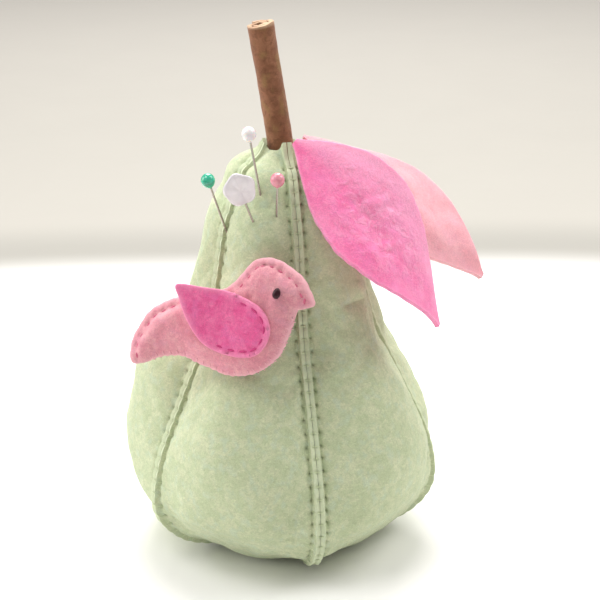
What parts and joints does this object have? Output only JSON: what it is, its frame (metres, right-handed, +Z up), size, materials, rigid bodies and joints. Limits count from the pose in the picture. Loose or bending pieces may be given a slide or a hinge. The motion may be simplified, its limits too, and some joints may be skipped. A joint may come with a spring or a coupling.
{
  "type": "pin cushion",
  "caption": "Pear-shaped felt pin cushion with a rolled stem, drooping leaves and a bird patch; ball-headed pins slide in and out of it.",
  "frame": {"origin": "on the pear's axis, in the plane that it stands on", "axes": "+Z up along the pear's axis, +Y to the back, +X to the right as seen from the front, where the bird is on the left"},
  "size_m": [0.1032, 0.0868, 0.1503],
  "materials": {
    "green_felt": "pale green wool felt, slightly mottled",
    "green_thread": "pale green cotton thread",
    "white_fibre": "packed polyester fibre",
    "brown_felt": "brown wool felt, lighter at its cut edge",
    "hot_pink_felt": "bright pink wool felt",
    "pale_pink_felt": "pale pink wool felt",
    "dark_bead": "glossy dark seed bead",
    "pin_steel": "polished nickel-plated steel wire",
    "white_head": "glossy pearl white",
    "green_head": "glossy emerald green",
    "flower_head": "translucent lavender white",
    "pink_head": "glossy rose pink"
  },
  "bodies": {
    "cushion": {"panel_front_right": "green_felt", "panel_back_right": "green_felt", "panel_back": "green_felt", "panel_left": "green_felt", "panel_front_left": "green_felt", "seam_thread_1": "green_thread", "seam_thread_2": "green_thread", "seam_thread_3": "green_thread", "seam_thread_4": "green_thread", "seam_thread_5": "green_thread", "base_tack": "green_thread", "stuffing": "white_fibre", "stem": "brown_felt", "bird_back": "pale_pink_felt", "bird_front": "pale_pink_felt", "bird_filling": "white_fibre", "wing": "hot_pink_felt", "eye_bead": "dark_bead"},
    "leaf_front": {"leaf_front": "hot_pink_felt"},
    "leaf_back": {"leaf_back": "pale_pink_felt"},
    "pin_white": {"pin_shaft_white": "pin_steel", "pin_head_white": "white_head"},
    "pin_green": {"pin_shaft_green": "pin_steel", "pin_head_green": "green_head"},
    "pin_flower": {"pin_shaft_flower": "pin_steel", "pin_head_flower": "flower_head"},
    "pin_pink": {"pin_shaft_pink": "pin_steel", "pin_head_pink": "pink_head"}
  },
  "joints": [
    {"name": "leaf_front_lift", "type": "hinge", "parent": "cushion", "child": "leaf_front", "pos_m": [0.0029, -0.0064, 0.12], "axis": [-0.3419, -0.9397, 0], "range_deg": [0, 45], "stiffness_Nm_per_rad": 0.02},
    {"name": "leaf_back_swing", "type": "hinge", "parent": "cushion", "child": "leaf_back", "pos_m": [0.0054, 0.0026, 0.1183], "axis": [0, 0, 1], "range_deg": [0, 40], "stiffness_Nm_per_rad": 0.02},
    {"name": "pin_white_slide", "type": "slide", "parent": "cushion", "child": "pin_white", "axis": [-0.134, -0.3251, 0.9362], "range_m": [-0.0135, 0.024]},
    {"name": "pin_green_slide", "type": "slide", "parent": "cushion", "child": "pin_green", "axis": [-0.2548, -0.2998, 0.9193], "range_m": [-0.009, 0.028]},
    {"name": "pin_flower_slide", "type": "slide", "parent": "cushion", "child": "pin_flower", "axis": [-0.302, -0.281, 0.911], "range_m": [-0.002, 0.033]},
    {"name": "pin_pink_slide", "type": "slide", "parent": "cushion", "child": "pin_pink", "axis": [0.03, -0.4004, 0.9159], "range_m": [-0.007, 0.03]}
  ]
}
